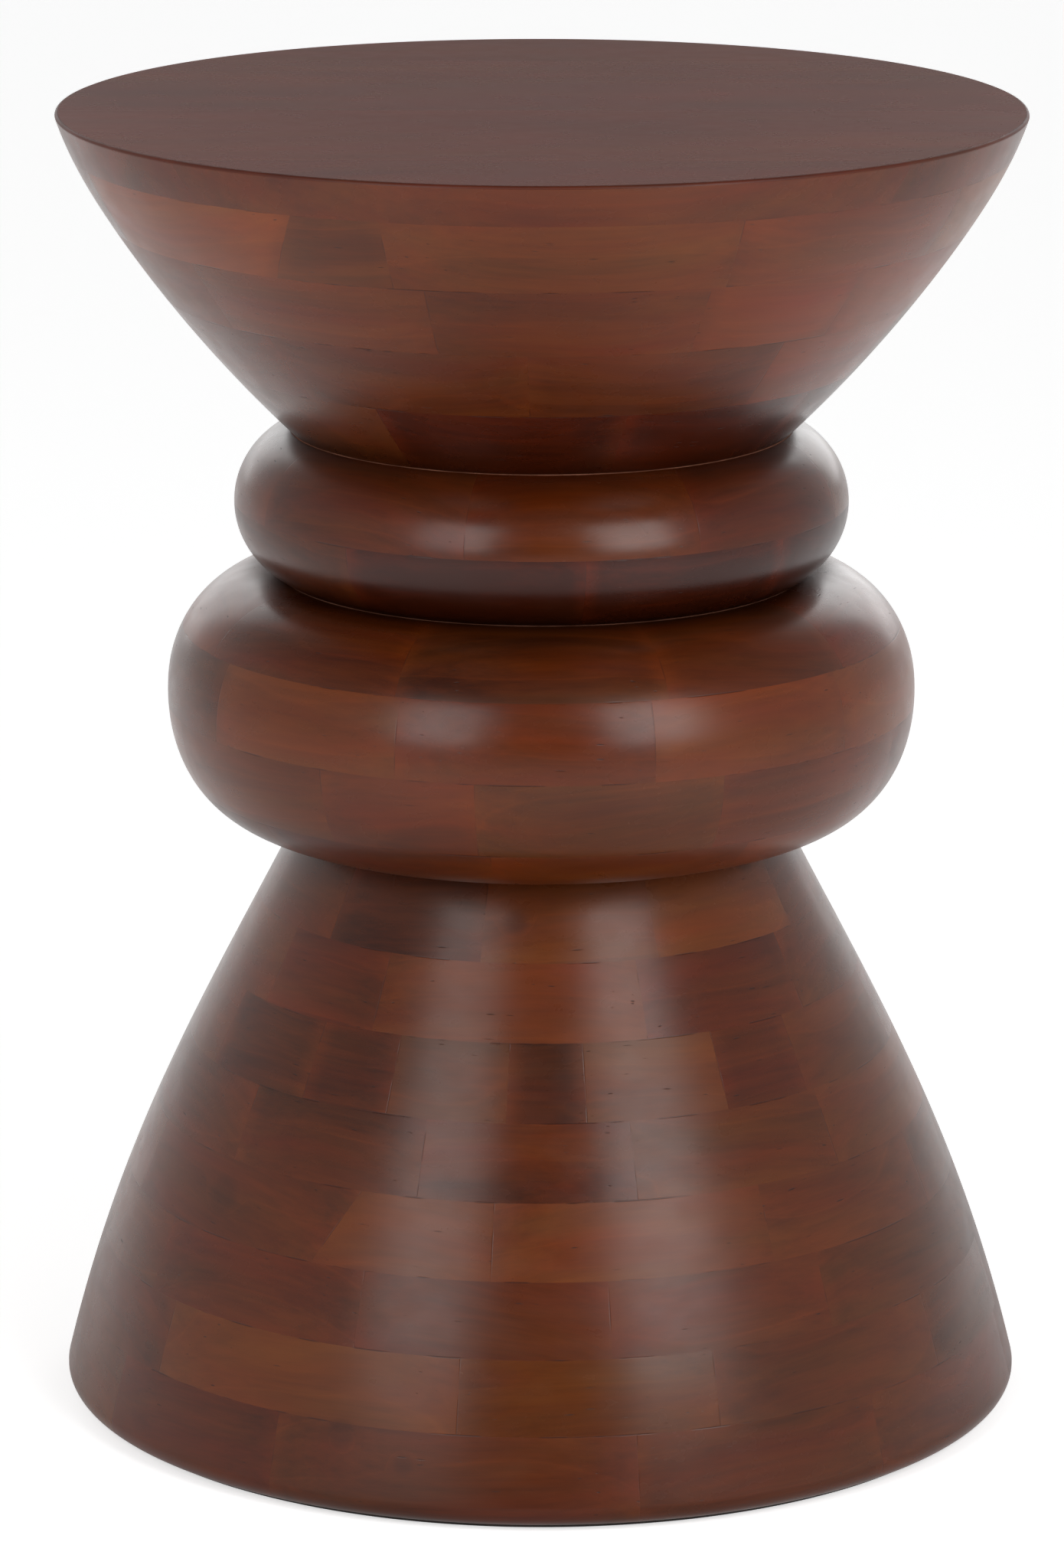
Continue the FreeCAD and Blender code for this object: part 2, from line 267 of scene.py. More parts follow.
def quarter(neck, belly, rise, centre, fullness):
    """A full quarter round from the widest point in to the crease, squarer than a circle."""
    turns = np.radians(90 * np.arange(QUARTER_STEPS + 1) / QUARTER_STEPS)
    across = np.clip(np.cos(turns), 0, 1) ** (2 / fullness[0])
    along = np.clip(np.sin(turns), 0, 1) ** (2 / fullness[1])
    return np.column_stack([neck + (belly - neck) * across, centre + rise * along])


def lower_outline():
    rise = LOWER_BELLY * LOWER_RING_HEIGHT
    centre = LOWER_RING_BOTTOM + rise
    below = quarter(BASE_CREASE_RADIUS, LOWER_RING_RADIUS, -rise, centre, QUARTER_BELOW)[::-1]
    above = quarter(MIDDLE_CREASE_RADIUS, LOWER_RING_RADIUS, LOWER_RING_HEIGHT - rise, centre,
                    QUARTER_ABOVE)
    return spline_points(np.vstack([below, above[1:]]), OUTLINE_STEP)


def upper_outline():
    """The one arc through both creases and the widest point."""
    first = np.array((MIDDLE_CREASE_RADIUS, UPPER_RING_BOTTOM))
    middle = np.array((UPPER_RING_RADIUS, UPPER_RING_BOTTOM + UPPER_BELLY * UPPER_RING_HEIGHT))
    last = np.array((BOWL_CREASE_RADIUS, BOWL_BOTTOM))
    a = 2 * np.array([middle - first, last - first])
    b = np.array([middle @ middle - first @ first, last @ last - first @ first])
    centre = np.linalg.solve(a, b)
    size = np.linalg.norm(first - centre)
    start = math.degrees(math.atan2(first[1] - centre[1], first[0] - centre[0]))
    end = math.degrees(math.atan2(last[1] - centre[1], last[0] - centre[0]))
    return arc_points(centre, size, start, end, math.degrees(OUTLINE_STEP / size))


def bowl_outline():
    centre = (TOP_RADIUS - RIM_ROUND, TABLE_HEIGHT - RIM_ROUND)
    rim = arc_points(centre, RIM_ROUND, RIM_ROUND_START, 90, RIM_ARC_STEP)
    points = [(BOWL_CREASE_RADIUS, BOWL_BOTTOM)]
    for height, flare in BOWL_OUTLINE:
        points.append((BOWL_CREASE_RADIUS + flare * (TOP_RADIUS - BOWL_CREASE_RADIUS),
                       BOWL_BOTTOM + height * BOWL_HEIGHT))
    points.append(tuple(rim[0]))
    return np.vstack([spline_points(points, OUTLINE_STEP), rim[1:]])


def levels(bottom, height, boards):
    return bottom + height * np.r_[0, np.cumsum(boards)] / sum(boards)


def outline_normals(outline):
    """Unit normals of the outline as (outward, up)."""
    knots = run_along(outline)
    along = np.column_stack([np.gradient(outline[:, 0], knots), np.gradient(outline[:, 1], knots)])
    along /= np.linalg.norm(along, axis=1)[:, None]
    return np.column_stack([along[:, 1], -along[:, 0]])


def course_outline(outline, low, high, creases=()):
    """The stretch of the outline between two levels, with a point on both.

    Each row is (radius, height, outward, up, how much painted shade the creases give it)."""
    run = run_along(outline)
    depth = np.zeros(len(run))
    # painted shade, darkest at a crease and fading along the outline
    for end, strength, reach in creases:
        away = run if end == "low" else run[-1] - run
        depth = np.maximum(depth, strength * np.exp(-(away / reach) ** CREASE_FALL))
    table = np.column_stack([outline, outline_normals(outline), depth])
    height = outline[:, 1]
    inside = (height > low + LEVEL_MARGIN) & (height < high - LEVEL_MARGIN)
    # the outline rises all the way, so a level crosses it once
    ends = [[np.interp(level, height, column) for column in table.T] for level in (low, high)]
    rows = np.vstack([ends[0], table[inside], ends[1]])
    rows[0, 1], rows[-1, 1] = low, high
    rows[:, 0] = np.minimum(rows[:, 0], LARGEST_RADIUS)
    rows[:, 2:4] /= np.linalg.norm(rows[:, 2:4], axis=1)[:, None]
    return rows


def ring_joints(front, behind, start):
    """Every joint of one course as (angle, lean), in order round the ring."""
    joints = [joint if isinstance(joint, tuple) else (joint, 0) for joint in front]
    first, last = joints[0][0], joints[-1][0]
    sizes = [UNEVEN[(start + n) % len(UNEVEN)] for n in range(behind)]
    even = (first + 360 - last) / sum(sizes)
    turn = last
    for size in sizes[:-1]:
        turn += even * size
        joints.append((turn, 0))
    joints.append((first + 360, joints[0][1]))
    return joints


class Patchwork:
    """Gathers vertices, faces, normals and grain values of one mesh."""

    def __init__(self):
        self.points, self.grain, self.tone, self.seam, self.painted_shade_and_wear = [], [], [], [], []
        self.faces, self.normals, self.finish = [], [], []
        self.count = 0

    def grid(self, points, normals, grain, tone, finish, flip=False, seam=None, painted_shade_and_wear=None):
        """A sheet of quads over points[i, j]; normals is one per point, or None for flat faces.

        seam gives each point's distance to the block's four edges, painted_shade_and_wear how much
        painted shade of a crease it gets, or how worn the rim is."""
        rows, columns = points.shape[:2]
        size = rows * columns
        flat = points.reshape(-1, 3)
        self.points.append(flat)
        self.grain.append(grain(flat))
        self.tone.append(tone.reshape(-1, 4) if np.ndim(tone) > 1 else np.tile(tone, (size, 1)))
        self.seam.append(np.full((size, 4), NO_SEAM) if seam is None else seam.reshape(-1, 4))
        self.painted_shade_and_wear.append(np.zeros(size) if painted_shade_and_wear is None else painted_shade_and_wear.ravel())

        i, j = np.meshgrid(np.arange(rows - 1), np.arange(columns - 1), indexing="ij")
        corner = (i * columns + j).ravel()
        quads = np.column_stack([corner, corner + 1, corner + 1 + columns, corner + columns])
        if flip:
            quads = quads[:, ::-1]
        if normals is None:
            quads, loops = self.flat_faces(flat, quads)
        else:
            loops = normals.reshape(-1, 3)[quads.ravel()]
        self.faces.append(quads + self.count)
        self.normals.append(loops)
        self.finish.append(np.full(len(quads), finish))
        self.count += size

    @staticmethod
    def flat_faces(points, quads):
        """The quads that have an area, and the normal of each at its four corners."""
        across = points[quads[:, 2]] - points[quads[:, 0]]
        along = points[quads[:, 3]] - points[quads[:, 1]]
        normals = np.cross(across, along)
        size = np.linalg.norm(normals, axis=1)
        keep = size > SMALLEST_FACE
        return quads[keep], np.repeat(normals[keep] / size[keep][:, None], 4, axis=0)

    def build(self, name, materials):
        points = np.vstack(self.points) * MM
        faces = np.vstack(self.faces)
        mesh = bpy.data.meshes.new(name)
        mesh.vertices.add(len(points))
        mesh.vertices.foreach_set("co", points.ravel().astype(np.float32))
        mesh.loops.add(len(faces) * 4)
        mesh.loops.foreach_set("vertex_index", faces.ravel().astype(np.int32))
        mesh.polygons.add(len(faces))
        mesh.polygons.foreach_set("loop_start", (np.arange(len(faces)) * 4).astype(np.int32))
        mesh.polygons.foreach_set("material_index", np.concatenate(self.finish).astype(np.int32))
        mesh.update(calc_edges=True)
        mesh.polygons.foreach_set("use_smooth", np.ones(len(faces), bool))
        for label, kind, field, values in (("grain", "FLOAT_VECTOR", "vector", self.grain),
                                           ("tone", "FLOAT_COLOR", "color", self.tone),
                                           ("seam", "FLOAT_COLOR", "color", self.seam),
                                           ("painted_shade_and_wear", "FLOAT", "value", self.painted_shade_and_wear)):
            attribute = mesh.attributes.new(label, kind, "POINT")
            attribute.data.foreach_set(field, np.concatenate(values).ravel().astype(np.float32))
        mesh.normals_split_custom_set(np.vstack(self.normals).astype(float).tolist())
        for material in materials:
            mesh.materials.append(material)
        return linked(name, mesh)


def linked(name, data):
    obj = bpy.data.objects.new(name, data)
    bpy.context.scene.collection.objects.link(obj)
    return obj


def grain_frame(rng, turn):
    """How a block's wood lies: x along its grain in metres, y and z across it from the pith."""
    t = math.radians(turn)
    along = np.array((math.cos(t), math.sin(t), 0))
    outward = np.array((math.sin(t), -math.cos(t), 0))
    up = np.array((0, 0, 1.0))
    along = along + outward * rng.gauss(*GRAIN_SWING) + up * rng.gauss(*GRAIN_RISE)
    along /= np.linalg.norm(along)
    pith = rng.uniform(0, 2 * math.pi)
    side = math.cos(pith) * outward + math.sin(pith) * up
    side -= along * (side @ along)
    side /= np.linalg.norm(side)
    third = np.cross(along, side)
    shift = np.array([rng.uniform(*reach) for reach in GRAIN_SHIFT])
    matrix = np.array((along, side, third))
    middle = outward * GRAIN_CENTRE

    def grain(points):
        return (points * MM - middle) @ matrix.T + shift
    return grain


def turned_surface(outward, rows):
    """Points and normals of a turned surface, one line of them for each row of its outline."""
    points = outward * rows[:, 0][:, None, None]
    points[:, :, 2] = rows[:, 1][:, None]
    normals = outward * rows[:, 2][:, None, None]
    normals[:, :, 2] = rows[:, 3][:, None]
    return points, normals


def between(first, second, share):
    """Straight steps from each point of one line to the same point of another."""
    near, far = (1 - share)[None, :, None], share[None, :, None]
    return first[:, None, :] * near + second[:, None, :] * far


def block_turns(left, right, aside, radius, share):
    """Where each point of a block's outside lies round the table, in radians."""
    ends = []
    for joint in (left, right):
        turn = math.radians(joint[0]) + np.arctan2(aside(joint), radius)
        ends.append(turn[:, None])
    return ends[0] * (1 - share) + ends[1] * share


def block_back(left, right, aside, height, distance, share):
    """The flat back of a block, at a distance from the axis."""
    middle = math.radians((left[0] + right[0]) / 2)
    facing = np.array((math.sin(middle), -math.cos(middle)))
    corners = []
    for joint in (left, right):
        t = math.radians(joint[0])
        outward = np.array((math.sin(t), -math.cos(t)))
        along = np.array((math.cos(t), math.sin(t)))
        run = (distance - aside(joint) * (along @ facing)) / (outward @ facing)
        place = run[:, None] * outward + aside(joint)[:, None] * along
        corners.append(np.column_stack([place, height]))
    return between(*corners, share)


def block_seams(turns, radius, run):
    """Each point's distance to the block's left, right, lower and upper edge."""
    seam = np.empty((*turns.shape, 4))
    seam[..., 0] = (turns - turns[:, :1]) * radius[:, None]
    seam[..., 1] = (turns[:, -1:] - turns) * radius[:, None]
    seam[..., 2] = run[:, None]
    seam[..., 3] = run[-1] - run[:, None]
    return seam


def block(work, rows, left, right, distance, grain, tone, rng, slope):
    """One block of a course, turned outside, flat at its back."""
    count = max(int(math.ceil((right[0] - left[0]) / AZIMUTH_STEP)), LEAST_BLOCK_STEPS)
    share = np.linspace(0, 1, count + 1)
    radius, height = rows[:, 0], rows[:, 1]
    middle_level = (height[0] + height[-1]) / 2

    def aside(joint):
        return (height - middle_level) * math.tan(math.radians(joint[1]))

    turns = block_turns(left, right, aside, radius, share)
    outward = np.stack([np.sin(turns), -np.cos(turns), np.zeros_like(turns)], axis=-1)
    outer, normals = turned_surface(outward, rows)
    back = block_back(left, right, aside, height, distance, share)

    run = run_along(rows[:, :2])
    tones = np.empty((*turns.shape, 4))
    tones[:] = tone
    drift = rng.gauss(*DRIFT_ALONG) if slope is None else slope
    rise = rng.gauss(*DRIFT_UP)
    tones[..., 0] += drift * (share - 0.5)[None, :] + rise * (run / run[-1] - 0.5)[:, None]
    painted_shade_and_wear = np.repeat(rows[:, 4:5], count + 1, axis=1)
    work.grid(outer, normals, grain, tones, FINISHED, seam=block_seams(turns, radius, run),
              painted_shade_and_wear=painted_shade_and_wear)
    work.grid(back, None, grain, tone, RAW, flip=True)
    work.grid(np.stack([outer[0], back[0]]), None, grain, tone, RAW, flip=True)
    work.grid(np.stack([outer[-1], back[-1]]), None, grain, tone, RAW)
    work.grid(np.stack([outer[:, 0], back[:, 0]], axis=1), None, grain, tone, RAW, flip=True)
    work.grid(np.stack([outer[:, -1], back[:, -1]], axis=1), None, grain, tone, RAW)


def tone_of(rng, told):
    """Lightness, redness, strength of the figure and a seed of one block."""
    if told is not None:
        return (told[0], told[1], rng.uniform(*FRONT_FIGURE), rng.random())
    return (rng.gauss(*CHANCE_LIGHTNESS), rng.gauss(*CHANCE_REDNESS), rng.uniform(*CHANCE_FIGURE),
            rng.random())


def courses(name, outline, marks, joints, behind, materials, creases):
    """The courses of one section, a piece for each."""
    for number, front in enumerate(joints):
        rows = course_outline(outline, marks[number], marks[number + 1], creases)
        distance = min(rows[0, 0], rows[-1, 0]) - WALL_WIDTH
        node = f"{name}_course_{number + 1}"
        rng = random.Random(node)
        ring = ring_joints(front, behind[number], number)
        told = dict(enumerate(BLOCK_TONES_AND_SHADE[node]))
        work = Patchwork()
        for index, (left, right) in enumerate(zip(ring[:-1], ring[1:])):
            grain = grain_frame(rng, (left[0] + right[0]) / 2)
            tone = tone_of(rng, told.get(index))
            slope = told[index][2] if len(told.get(index, ())) > 2 else None
            block(work, rows, left, right, distance, grain, tone, rng, slope)
        piece = work.build(node + "_blocks", materials)
        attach(piece, "root")
        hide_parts(node)


def plank(work, rows, near, far, grain, tone, side_tone):
    """One plank of the top, from its near edge to its far one, with the rim at both ends."""
    radius = rows[:, 0]
    start = np.arcsin(np.clip(near / radius, -1, 1))
    end = np.arcsin(np.clip(far / radius, -1, 1))
    steps = math.degrees(abs(end[0] - start[0])) / AZIMUTH_STEP
    share = np.linspace(0, 1, max(int(math.ceil(steps)), LEAST_PLANK_STEPS) + 1)
    turns = start[:, None] * (1 - share) + end[:, None] * share
    sides = []
    for sign in (1, -1):
        outward = np.stack([sign * np.cos(turns), np.sin(turns), np.zeros_like(turns)], axis=-1)
        points, normals = turned_surface(outward, rows)
        height = points[:, :, 2]
        tones = np.where(height[..., None] < TABLE_HEIGHT - RIM_ROUND, np.array(side_tone),
                         np.array(tone))
        worn = np.where(height > TABLE_HEIGHT - WORN_SHARE * RIM_ROUND, RIM_WEAR, 0.0)
        work.grid(points, normals, grain, tones, FINISHED, flip=sign < 0, painted_shade_and_wear=worn)
        sides.append(points)
    right, left = sides
    across = np.linspace(0, 1, PLANK_STEPS_ACROSS)
    work.grid(between(left[-1], right[-1], across), None, grain, tone, FINISHED, flip=True)
    work.grid(between(left[0], right[0], across), None, grain, tone, RAW)
    work.grid(np.stack([left[:, 0], right[:, 0]], axis=1), None, grain, tone, RAW, flip=True)
    work.grid(np.stack([left[:, -1], right[:, -1]], axis=1), None, grain, tone, RAW)


def top_board(outline, low, materials):
    """The planks of the top, each with its own grain."""
    rows = course_outline(outline, low, TABLE_HEIGHT - TOP_MARGIN)
    rows[-1] = (TOP_RADIUS - RIM_ROUND, TABLE_HEIGHT, 0, 1, 0)
    work = Patchwork()
    rng = random.Random("top_board")
    edge = -TOP_RADIUS
    total = sum(PLANKS)
    for width in PLANKS:
        near, far = edge, edge + width * 2 * TOP_RADIUS / total
        edge = far
        grain = grain_frame(rng, 0)
        tone = (rng.gauss(*TOP_LIGHTNESS), rng.gauss(*TOP_REDNESS), rng.uniform(*TOP_FIGURE),
                rng.random())
        side_tone = (rng.gauss(*RIM_LIGHTNESS), rng.gauss(*RIM_REDNESS), RIM_FIGURE, tone[3])
        plank(work, rows, near, far, grain, tone, side_tone)
    piece = work.build("top_board_planks", materials)
    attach(piece, "root")
    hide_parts("top_board")


class Graph:
    """The nodes of a material or a world, with short ways to add the usual ones."""

    def __init__(self, owner):
        owner.use_nodes = True
        self.owner = owner
        self.nodes = owner.node_tree.nodes
        self.links = owner.node_tree.links
        self.nodes.clear()

    def add(self, kind, inputs=None, **settings):
        node = self.nodes.new(kind)
        for key, value in settings.items():
            setattr(node, key, value)
        for key, value in (inputs or {}).items():
            self.give(node.inputs[key], value)
        return node

    def give(self, socket, value):
        if isinstance(value, bpy.types.NodeSocket):
            self.links.new(value, socket)
        else:
            socket.default_value = value

    def math(self, operation, *values, clamp=False):
        return self.add("ShaderNodeMath", dict(enumerate(values)), operation=operation,
                        use_clamp=clamp).outputs[0]

    def plus(self, first, second, clamp=False):
        return self.math("ADD", first, second, clamp=clamp)

    def minus(self, first, second):
        return self.math("SUBTRACT", first, second)

    def times(self, first, second):
        return self.math("MULTIPLY", first, second)

    def vector(self, operation, *values):
        node = self.add("ShaderNodeVectorMath", dict(enumerate(values)), operation=operation)
        return node.outputs["Value"] if operation == "LENGTH" else node.outputs[0]

    def noise(self, where, scale, detail=2.0, roughness=0.5, output="Fac"):
        """Noise between 0 and 1. The scale is one number, or one for each direction."""
        if isinstance(scale, tuple):
            where, scale = self.vector("MULTIPLY", where, scale), 1.0
        node = self.add("ShaderNodeTexNoise", {"Vector": where, "Scale": scale, "Detail": detail,
                                               "Roughness": roughness})
        return node.outputs[output]

    def span(self, value, low, high, to_low=0.0, to_high=1.0, smooth=True):
        """The value carried from one range to another, held at its ends."""
        kind = "SMOOTHSTEP" if smooth else "LINEAR"
        return self.add("ShaderNodeMapRange", {0: value, 1: low, 2: high, 3: to_low, 4: to_high},
                        interpolation_type=kind).outputs[0]

    def mix(self, share, first, second):
        node = self.add("ShaderNodeMix", data_type="RGBA", blend_type="MIX", clamp_factor=True)
        for socket, value in ((0, share), (6, first), (7, second)):
            self.give(node.inputs[socket], value)
        return node.outputs[2]

    def attribute(self, name):
        return self.add("ShaderNodeAttribute", attribute_name=name).outputs

    def split(self, colour):
        return self.add("ShaderNodeSeparateColor", {0: colour}).outputs

    def parts(self, vector):
        return self.add("ShaderNodeSeparateXYZ", {0: vector}).outputs

    def place(self):
        return self.add("ShaderNodeTexCoord").outputs["Object"]

    def surface(self, colour, roughness, height, distance=MM, strength=1.0, **inputs):
        """A painted surface with a relief, whose height counts in the given distance."""
        bump = self.add("ShaderNodeBump", {"Height": height, "Strength": strength,
                                           "Distance": distance})
        named = {key.replace("_", " "): value for key, value in inputs.items()}
        return self.finish(self.add("ShaderNodeBsdfPrincipled", {
            "Base Color": colour, "Roughness": roughness, **named, "Normal": bump.outputs[0]}))

    def finish(self, shader, kind="ShaderNodeOutputMaterial"):
        self.links.new(shader.outputs[0], self.add(kind).inputs[0])
        return self.owner


def rgb(red, green, blue):
    return (red, green, blue, 1.0)


def knot_places():
    """Centre and size of each knot on the base, in metres."""
    outline = base_outline()
    places = []
    for turn, height, size in KNOTS:
        r = float(np.interp(height, outline[:, 1], outline[:, 0]))
        t = math.radians(turn)
        places.append(((r * math.sin(t) * MM, -r * math.cos(t) * MM, height * MM), size * MM))
    return places


# Stain: the darkest and the lightest wood, in olive brown and in red brown
OLIVE_DARK = rgb(0.0290, 0.0085, 0.0010)
OLIVE_LIGHT = rgb(0.192, 0.0560, 0.0050)
WARM_DARK = rgb(0.0310, 0.0035, 0.0003)
WARM_LIGHT = rgb(0.194, 0.0210, 0.0012)
PORE_COLOUR = rgb(0.0100, 0.0020, 0.0008)
GLUE_COLOUR = rgb(0.0200, 0.0025, 0.0008)
KNOT_COLOUR = rgb(0.018, 0.003, 0.001)
# painted shade of the creases and the foot, and the darkening of the worn rim
SHADE_AND_WEAR_COLOUR = rgb(0.014, 0.0028, 0.0002)
LACQUER_IOR = 1.365

# Bare wood of the hidden faces
BARE_DARK = rgb(0.150, 0.085, 0.045)
BARE_LIGHT = rgb(0.400, 0.265, 0.160)
BARE_WARM_DARK = rgb(0.170, 0.080, 0.040)
BARE_WARM_LIGHT = rgb(0.440, 0.250, 0.130)
BARE_PORE_COLOUR = rgb(0.07, 0.04, 0.022)

# The figure: cells to the metre along the grain and twice across it, and shares of the lightness
PATCH_SCALE, PATCH_SHARE = (9.0, 60.0, 60.0), 0.50
STREAK_SCALE, STREAK_SHARE = (16.0, 360.0, 360.0), 0.34
FIBRE_SCALE, FIBRE_SHARE = (60.0, 1900.0, 1900.0), 0.14
CLOUD_SCALE, CLOUD_SHARE = (13.0, 13.0, 22.0), 0.36
HUE_SCALE, HUE_SHARE = (12.0, 80.0, 80.0), 0.8
RING_SHADE, RING_LINE = 0.05, 0.07
RINGS_PER_METRE, RING_UNEVENNESS = 62.0, 1.3
WANDER_SCALE, WANDER_REACH = (6.0, 14.0, 14.0), (0.0, 0.022, 0.022)
KNOT_PUSH = 0.012
PORE_SCALE, PORE_SHUFFLE = (135.0, 1150.0, 1150.0), 40.0

# A block's lightness draws towards the middle one near its butt joints
MIDDLE_LIGHTNESS = 0.37
LIGHTNESS_GAIN, LIGHTNESS_START = 0.80, 0.085

# Relief: slow waves left by sanding, the lacquer's skin, streaks, pores and glue lines
WAVE_HEIGHT, SKIN_HEIGHT, STREAK_HEIGHT = 0.085, 0.002, 0.008
PORE_DEPTH, GLUE_DEPTH = 0.045, 0.04
BARE_STREAK_HEIGHT, SAW_HEIGHT, BARE_PORE_DEPTH = 0.08, 0.06, 0.12


class Wood(Graph):
    """The figure of laminated hardwood, which the finished and the bare wood share."""

    def __init__(self, name):
        super().__init__(bpy.data.materials.new(name))
        self.where = self.place()
        self.straight = self.attribute("grain")["Vector"]
        tone = self.attribute("tone")
        self.lightness, self.redness, self.strength = self.split(tone["Color"])
        self.seed = tone["Alpha"]
        seam = self.attribute("seam")
        left, right, below = self.split(seam["Color"])
        self.butt = self.math("MINIMUM", left, right)
        self.level = self.math("MINIMUM", below, seam["Alpha"])

        # the grain wanders a little
        wander = self.noise(self.straight, WANDER_SCALE, output="Color")
        wander = self.vector("SUBTRACT", wander, (0.5, 0.5, 0.5))
        wander = self.vector("MULTIPLY", wander, WANDER_REACH)
        self.grain = self.vector("ADD", self.straight, wander)
        self.streaks = self.noise(self.grain, STREAK_SCALE, 3.0, 0.6)
        self.knot = self.knots()

    def knots(self):
        """1 in the heart of a knot, and 0 a few of its sizes away."""
        nearest = None
        for centre, size in knot_places():
            away = self.vector("LENGTH", self.vector("SUBTRACT", self.where, centre))
            near = self.span(away, size * 0.35, size * 3.2, 1.0, 0.0)
            nearest = near if nearest is None else self.math("MAXIMUM", nearest, near)
        return nearest

    def growth_rings(self):
        """Sparse rings, uneven in width and bent round the knots: a shade and a thin paler line."""
        _, y, z = self.parts(self.grain)
        across = self.plus(self.math("POWER", y, 2.0), self.math("POWER", z, 2.0))
        across = self.plus(self.math("SQRT", across), self.times(self.knot, KNOT_PUSH))
        uneven = self.noise(self.grain, (1.5, 30.0, 30.0))
        phase = self.plus(self.times(across, RINGS_PER_METRE), self.times(uneven, RING_UNEVENNESS))
        ring = self.math("FRACT", phase)
        line = self.span(self.math("ABSOLUTE", self.minus(ring, 0.5)), 0.455, 0.5)
        shade = self.minus(self.span(ring, 0.0, 1.0, smooth=False), 0.5)
        return shade, line

    def light(self):
        """How light the wood is: its own tone with patches, streaks, fibres, clouds and rings."""
        own = self.span(self.butt, 0.0, 8.0, 0.45, 1.0)
        tone = self.times(self.minus(self.lightness, MIDDLE_LIGHTNESS), own)
        tone = self.plus(tone, MIDDLE_LIGHTNESS)
        light = self.plus(self.times(tone, LIGHTNESS_GAIN), LIGHTNESS_START)
        figured = self.span(self.strength, 0.0, 0.7, 0.1, 1.0, smooth=False)
        patches = self.noise(self.grain, PATCH_SCALE, 3.0)
        fibres = self.noise(self.grain, FIBRE_SCALE, 2.0, 0.6)
        cloud = self.noise(self.where, CLOUD_SCALE, 2.0, 0.4)
        for value, share in ((patches, PATCH_SHARE),
                             (self.streaks, self.times(figured, STREAK_SHARE)),
                             (fibres, self.times(figured, FIBRE_SHARE)), (cloud, CLOUD_SHARE)):
            light = self.plus(light, self.times(self.minus(value, 0.5), share))
        shade, line = self.growth_rings()
        light = self.minus(light, self.times(shade, self.times(self.strength, RING_SHADE)))
        light = self.plus(light, self.times(line, self.times(self.strength, RING_LINE)))
        return self.span(light, 0.0, 1.0, smooth=False)

    def red(self):
        """How red the wood is, drifting between olive brown and red brown."""
        drift = self.minus(self.noise(self.grain, HUE_SCALE), 0.5)
        red = self.plus(self.redness, self.times(drift, HUE_SHARE))
        return self.span(red, 0.0, 1.0, smooth=False)

    def pores(self):
        """Open pores: short dashes along the grain, dots where the grain comes out."""
        where = self.vector("MULTIPLY", self.straight, PORE_SCALE)
        shuffle = self.add("ShaderNodeCombineXYZ", {0: self.times(self.seed, PORE_SHUFFLE)})
        where = self.vector("ADD", where, shuffle.outputs[0])
        cell = self.add("ShaderNodeTexVoronoi", {"Vector": where, "Scale": 1.0, "Randomness": 1.0})
        chance, girth, depth = self.split(cell.outputs["Color"])
        crowd = self.noise(self.grain, (10.0, 90.0, 90.0), 1.0)
        width = self.times(cell.outputs["Distance"], self.span(girth, 0.0, 1.0, 1.7, 0.65))
        pore = self.span(width, 0.10, 0.30, 1.0, 0.0)
        rarity = self.span(crowd, 0.35, 0.7, 0.994, 0.93)
        pore = self.times(pore, self.math("GREATER_THAN", chance, rarity))
        pore = self.times(pore, self.span(depth, 0.0, 1.0, 0.45, 1.0))
        return self.times(pore, self.span(self.strength, 0.15, 0.9))

    def glue_lines(self):
        """Dark glue along the block's edges, here and there."""
        chance = self.noise(self.where, (60.0, 60.0, 90.0))
        level = self.times(self.span(self.level, 0.08, 0.36, 1.0, 0.0),
                           self.span(chance, 0.50, 0.62))
        butt = self.times(self.span(self.butt, 0.08, 0.34, 0.6, 0.0),
                          self.span(chance, 0.44, 0.60))
        return self.math("MAXIMUM", level, butt)

    def painted_shade_and_wear(self):
        """Painted shade of a crease, uneven; the worn rim gives more than 1."""
        uneven = self.noise(self.where, (45.0, 45.0, 90.0))
        return self.times(self.attribute("painted_shade_and_wear")["Fac"], self.span(uneven, 0.3, 0.7, 0.75, 1.0))


def finished_wood(name):
    """Stained wood under satin lacquer."""
    g = Wood(name)
    light, pore, glue, painted_shade_and_wear = g.light(), g.pores(), g.glue_lines(), g.painted_shade_and_wear()
    colour = g.mix(g.red(), g.mix(light, OLIVE_DARK, OLIVE_LIGHT), g.mix(light, WARM_DARK, WARM_LIGHT))
    colour = g.mix(g.times(pore, 0.80), colour, PORE_COLOUR)
    colour = g.mix(g.times(glue, 0.70), colour, GLUE_COLOUR)
    colour = g.mix(g.times(g.span(g.knot, 0.35, 1.0), 0.30), colour, KNOT_COLOUR)
    # painted shade darkens the creases and the foot; the worn rim, above 1, is darkened less, as wear
    colour = g.mix(g.times(painted_shade_and_wear, g.span(painted_shade_and_wear, 0.95, 1.1, 0.90, 0.42)), colour, SHADE_AND_WEAR_COLOUR)

    roughness = g.span(g.noise(g.where, (70.0, 70.0, 110.0), 3.0), 0.25, 0.75, 0.26, 0.31)
    roughness = g.plus(roughness, g.times(g.minus(g.seed, 0.5), 0.06))
    roughness = g.plus(roughness, g.times(pore, 0.12))
    roughness = g.plus(roughness, g.span(painted_shade_and_wear, 1.0, 1.1, 0.0, 0.26), clamp=True)

    waves = g.noise(g.where, (38.0, 38.0, 52.0), 1.0)
    skin = g.noise(g.where, (650.0, 650.0, 650.0), 2.0)
    relief = g.span(g.strength, 0.15, 0.7)
    height = g.plus(g.times(waves, WAVE_HEIGHT), g.times(g.times(skin, relief), SKIN_HEIGHT))
    height = g.plus(height, g.times(g.times(g.streaks, relief), STREAK_HEIGHT))
    height = g.minus(height, g.times(pore, PORE_DEPTH))
    height = g.minus(height, g.times(glue, GLUE_DEPTH))
    return g.surface(colour, roughness, height, IOR=LACQUER_IOR)


